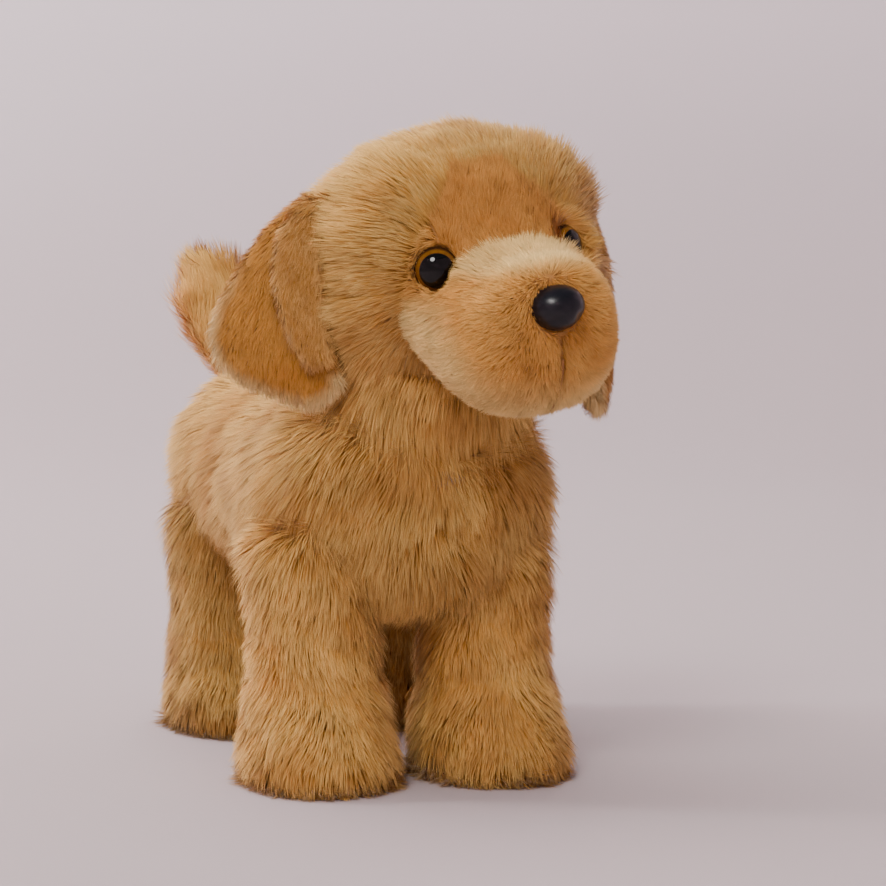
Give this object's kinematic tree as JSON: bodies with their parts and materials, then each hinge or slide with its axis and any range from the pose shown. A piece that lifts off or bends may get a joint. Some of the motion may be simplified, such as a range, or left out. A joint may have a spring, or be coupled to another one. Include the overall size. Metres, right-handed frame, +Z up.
{
  "type": "plush dog",
  "caption": "Standing stuffed puppy of sewn pile-fabric panels over fibre filling, with hanging flap ears, moulded eyes and nose, a bushy tail and limbs that flex at their seams.",
  "frame": {"origin": "on the ground under the middle of the dog's box", "axes": "+Z up, the dog faces -Y, its left side is +X"},
  "size_m": [0.1508, 0.2598, 0.2223],
  "materials": {
    "long_pile": "long golden tan pile, combed",
    "short_pile": "short dense pile, amber to cream",
    "pale_pile": "short pale pile",
    "patch_pile": "short orange-brown pile",
    "stuffing": "white polyester fibre",
    "black_plastic": "glossy black",
    "nose_plastic": "satin black",
    "amber_lens": "clear gloss over dark amber",
    "washer_plastic": "natural moulded",
    "thread": "brown sewing thread"
  },
  "bodies": {
    "torso": {"belly_gusset": "long_pile", "body_side_left": "long_pile", "body_side_right": "long_pile", "torso_stuffing": "stuffing"},
    "head": {"crown_gusset": "long_pile", "eye_left_lens": "amber_lens", "eye_left_pupil": "black_plastic", "eye_left_washer": "washer_plastic", "eye_right_lens": "amber_lens", "eye_right_pupil": "black_plastic", "eye_right_washer": "washer_plastic", "forehead_patch": "patch_pile", "head_side_left": "long_pile", "head_side_right": "long_pile", "head_stuffing": "stuffing", "jaw_gusset": "long_pile", "mouth_seam_thread": "thread", "muzzle_bridge": "short_pile", "muzzle_left": "short_pile", "muzzle_right": "short_pile", "nose": "nose_plastic", "nose_washer": "washer_plastic"},
    "ear_left": {"ear_left_lining": "pale_pile", "ear_left_lobe": "short_pile", "ear_left_outer": "short_pile"},
    "ear_right": {"ear_right_lining": "pale_pile", "ear_right_lobe": "short_pile", "ear_right_outer": "short_pile"},
    "leg_front_left": {"leg_front_left_inner": "long_pile", "leg_front_left_outer": "long_pile", "leg_front_left_stuffing": "stuffing", "sole_front_left": "pale_pile"},
    "leg_front_right": {"leg_front_right_inner": "long_pile", "leg_front_right_outer": "long_pile", "leg_front_right_stuffing": "stuffing", "sole_front_right": "pale_pile"},
    "leg_hind_left": {"leg_hind_left_inner": "long_pile", "leg_hind_left_outer": "long_pile", "leg_hind_left_stuffing": "stuffing", "sole_hind_left": "pale_pile"},
    "leg_hind_right": {"leg_hind_right_inner": "long_pile", "leg_hind_right_outer": "long_pile", "leg_hind_right_stuffing": "stuffing", "sole_hind_right": "pale_pile"},
    "neck": {"neck_skin": "long_pile", "neck_stuffing": "stuffing"},
    "tail": {"tail_skin_left": "long_pile", "tail_skin_right": "long_pile", "tail_stuffing": "stuffing"}
  },
  "joints": [
    {"name": "neck_turn", "type": "hinge", "parent": "torso", "child": "neck", "pos_m": [-0.00352, -0.03351, 0.121], "axis": [0.1454, -0.4072, 0.9017], "range_deg": [-30, 15], "stiffness_Nm_per_rad": 1},
    {"name": "head_nod", "type": "hinge", "parent": "neck", "child": "head", "pos_m": [0.00148, -0.04751, 0.152], "axis": [0.9686, 0.2059, 0.1392], "range_deg": [-12, 12], "stiffness_Nm_per_rad": 1},
    {"name": "ear_left_lift", "type": "hinge", "parent": "head", "child": "ear_left", "pos_m": [0.04311, -0.05087, 0.20822], "axis": [0.002, -0.9996, -0.0289], "range_deg": [0, 95]},
    {"name": "ear_right_lift", "type": "hinge", "parent": "head", "child": "ear_right", "pos_m": [-0.03727, -0.06796, 0.20374], "axis": [-0.4048, 0.914, -0.0289], "range_deg": [0, 95]},
    {"name": "tail_wag", "type": "hinge", "parent": "torso", "child": "tail", "pos_m": [-0.01452, 0.10349, 0.119], "axis": [0, 0.92, -0.392], "range_deg": [-20, 20], "stiffness_Nm_per_rad": 0.05},
    {"name": "leg_front_left_flex", "type": "hinge", "parent": "torso", "child": "leg_front_left", "pos_m": [0.02048, -0.03951, 0.075], "axis": [1, 0, 0], "range_deg": [-12, 12], "stiffness_Nm_per_rad": 1},
    {"name": "leg_front_right_flex", "type": "hinge", "parent": "torso", "child": "leg_front_right", "pos_m": [-0.04152, -0.03951, 0.075], "axis": [1, 0, 0], "range_deg": [-12, 12], "stiffness_Nm_per_rad": 1},
    {"name": "leg_hind_left_flex", "type": "hinge", "parent": "torso", "child": "leg_hind_left", "pos_m": [0.02148, 0.07749, 0.075], "axis": [1, 0, 0], "range_deg": [-12, 12], "stiffness_Nm_per_rad": 1},
    {"name": "leg_hind_right_flex", "type": "hinge", "parent": "torso", "child": "leg_hind_right", "pos_m": [-0.04252, 0.07749, 0.075], "axis": [1, 0, 0], "range_deg": [-12, 12], "stiffness_Nm_per_rad": 1}
  ]
}
